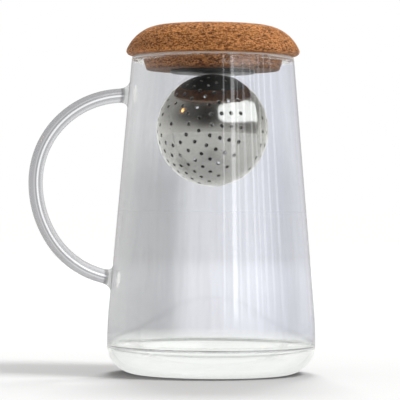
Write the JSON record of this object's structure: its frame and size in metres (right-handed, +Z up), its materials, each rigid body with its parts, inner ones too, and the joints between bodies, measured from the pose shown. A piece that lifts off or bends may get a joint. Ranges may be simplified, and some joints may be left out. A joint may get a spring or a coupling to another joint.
{
  "type": "lidded tea mug with infuser",
  "caption": "Tapered clear glass tea mug with a rod handle, a domed cork lid that lifts off, and a perforated steel infuser ball held under the lid by a magnet.",
  "frame": {"origin": "on the mug's axis, in the plane of the ring that it stands on", "axes": "+Z up along the mug's axis, handle towards -X; the picture is taken from -Y, turned 13 degrees towards the handle"},
  "size_m": [0.1446, 0.104, 0.1741],
  "materials": {
    "body_glass": "clear blown borosilicate glass, fire-polished at the rim",
    "handle_glass": "clear solid glass rod",
    "cork": "turned and sanded agglomerated cork, matte",
    "black_plate": "steel disc with a smooth black coat",
    "magnet_plating": "nickel-plated disc magnet",
    "ball_steel": "pressed stainless steel sheet, polished, with round perforations"
  },
  "bodies": {
    "mug": {"mug_body": "body_glass", "mug_handle": "handle_glass"},
    "lid": {"lid_cork": "cork", "lid_plate": "black_plate", "lid_magnet": "magnet_plating"},
    "infuser_front": {"infuser_front_half": "ball_steel"},
    "infuser_rear": {"infuser_rear_half": "ball_steel"}
  },
  "joints": [
    {"name": "lid_lift", "type": "slide", "parent": "mug", "child": "lid", "axis": [0, 0, 1], "range_m": [0, 0.09]},
    {"name": "infuser_drop", "type": "slide", "parent": "lid", "child": "infuser_front", "axis": [0, 0, -1], "range_m": [0, 0.086]},
    {"name": "infuser_open", "type": "slide", "parent": "infuser_front", "child": "infuser_rear", "axis": [0.8627, 0.4981, -0.0872], "range_m": [0, 0.012]}
  ]
}
